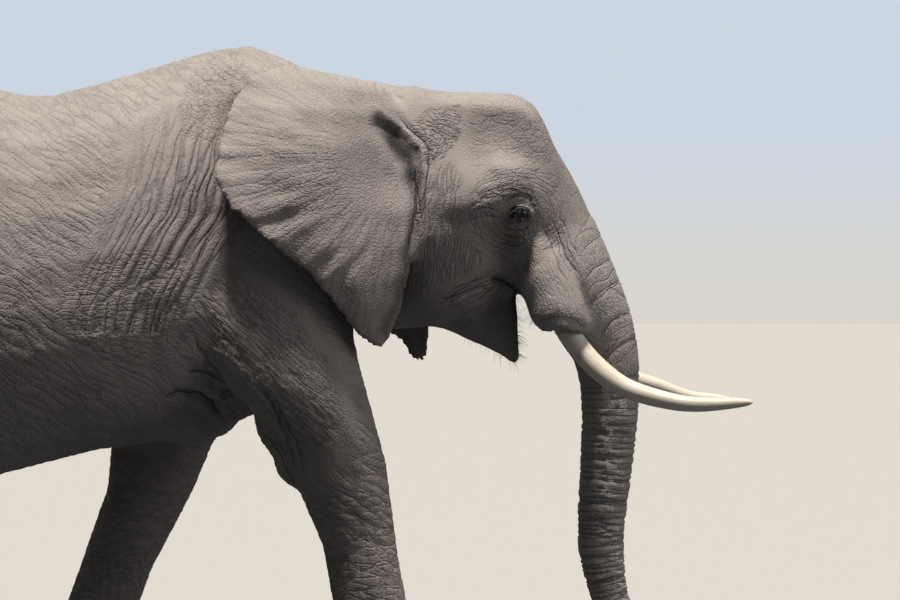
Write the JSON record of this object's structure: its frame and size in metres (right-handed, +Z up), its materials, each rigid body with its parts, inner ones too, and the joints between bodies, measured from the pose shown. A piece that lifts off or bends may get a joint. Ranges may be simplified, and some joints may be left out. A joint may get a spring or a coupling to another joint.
{
  "type": "African bush elephant",
  "caption": "Life-size still model of an adult African bush elephant cow in a walking stance, with trunk hanging and long tusks.",
  "frame": {"origin": "on the floor, under the middle of the whole animal's bounding box", "axes": "+X towards the head, +Y towards the animal's left side, +Z up"},
  "size_m": [3.7674, 1.1798, 2.5085],
  "materials": {
    "skin": "matt, dry, dusty wrinkled hide",
    "ivory": "smooth, cream, worn at the tip",
    "toenail": "dull horn",
    "eye": "wet, dark brown",
    "tail_hair": "coarse black bristle"
  },
  "bodies": {
    "root": {"ear_left": "skin", "ear_right": "skin", "eye_left": "eye", "eye_right": "eye", "foreleg_left_foot": "skin", "foreleg_left_lower": "skin", "foreleg_left_upper": "skin", "foreleg_right_foot": "skin", "foreleg_right_lower": "skin", "foreleg_right_upper": "skin", "head": "skin", "hindleg_left_foot": "skin", "hindleg_left_lower": "skin", "hindleg_left_upper": "skin", "hindleg_right_foot": "skin", "hindleg_right_lower": "skin", "hindleg_right_upper": "skin", "lower_jaw": "skin", "nail_foreleg_left_1": "toenail", "nail_foreleg_left_2": "toenail", "nail_foreleg_left_3": "toenail", "nail_foreleg_left_4": "toenail", "nail_foreleg_right_1": "toenail", "nail_foreleg_right_2": "toenail", "nail_foreleg_right_3": "toenail", "nail_foreleg_right_4": "toenail", "nail_hindleg_left_1": "toenail", "nail_hindleg_left_2": "toenail", "nail_hindleg_left_3": "toenail", "nail_hindleg_right_1": "toenail", "nail_hindleg_right_2": "toenail", "nail_hindleg_right_3": "toenail", "neck": "skin", "tail": "skin", "tail_tuft": "tail_hair", "torso": "skin", "trunk_base": "skin", "trunk_lower": "skin", "trunk_tip": "skin", "trunk_upper": "skin", "tusk_left": "ivory", "tusk_right": "ivory"}
  },
  "joints": []
}
